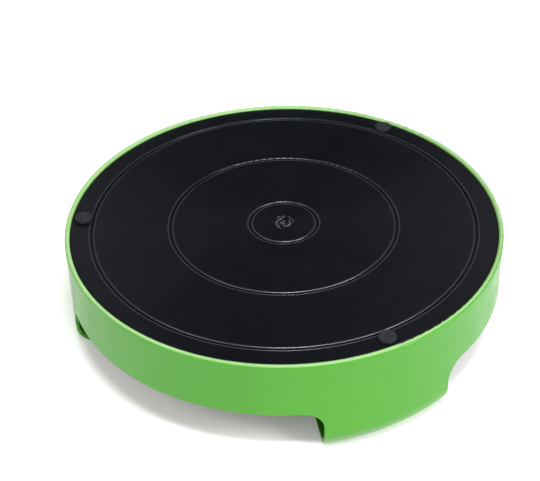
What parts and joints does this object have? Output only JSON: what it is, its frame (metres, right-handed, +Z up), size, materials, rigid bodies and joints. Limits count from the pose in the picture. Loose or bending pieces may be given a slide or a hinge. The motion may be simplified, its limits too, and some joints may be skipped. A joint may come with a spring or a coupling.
{
  "type": "pottery wheel",
  "caption": "Low hand-turned pottery wheel: a grooved black disc spins on a ball bearing inside a round green three-legged base.",
  "frame": {"origin": "on the floor, under the centre of the wheel", "axes": "+Z up along the spindle; one leg faces -Y; +X to the right seen from that leg"},
  "size_m": [0.254, 0.254, 0.066],
  "materials": {
    "green_plastic": "satin moulded",
    "black_plastic": "fine satin",
    "deck_plastic": "moulded",
    "nylon": "matte",
    "grip_rubber": "matte",
    "foot_rubber": "matte",
    "steel": "ground",
    "ball_steel": "polished",
    "zinc_screw": "zinc plated",
    "bronze": "sintered",
    "flange_aluminium": "turned"
  },
  "bodies": {
    "base": {"base_shell": "green_plastic", "bearing_deck": "deck_plastic", "deck_screws": "zinc_screw", "spindle_bush": "bronze", "lower_race": "steel", "hub_cap": "deck_plastic", "foot_pad_front": "foot_rubber", "foot_pad_right": "foot_rubber", "foot_pad_left": "foot_rubber"},
    "wheel": {"wheel_head": "black_plastic", "grip_pad_front": "grip_rubber", "grip_pad_right": "grip_rubber", "grip_pad_left": "grip_rubber", "hub_flange": "flange_aluminium", "hub_screws": "zinc_screw", "upper_race": "steel", "spindle": "steel", "thrust_washer": "steel", "retaining_clip": "steel"},
    "cage": {"ball_cage": "nylon", "bearing_balls": "ball_steel"}
  },
  "joints": [
    {"name": "wheel_spin", "type": "hinge", "parent": "base", "child": "wheel", "pos_m": [0, 0, 0.0418], "axis": [0, 0, 1], "continuous": true},
    {"name": "cage_roll", "type": "hinge", "parent": "base", "child": "cage", "pos_m": [0, 0, 0.0418], "axis": [0, 0, 1], "continuous": true}
  ],
  "couplings": [
    {"joint": "cage_roll", "follows": "wheel_spin", "ratio": 0.5}
  ]
}
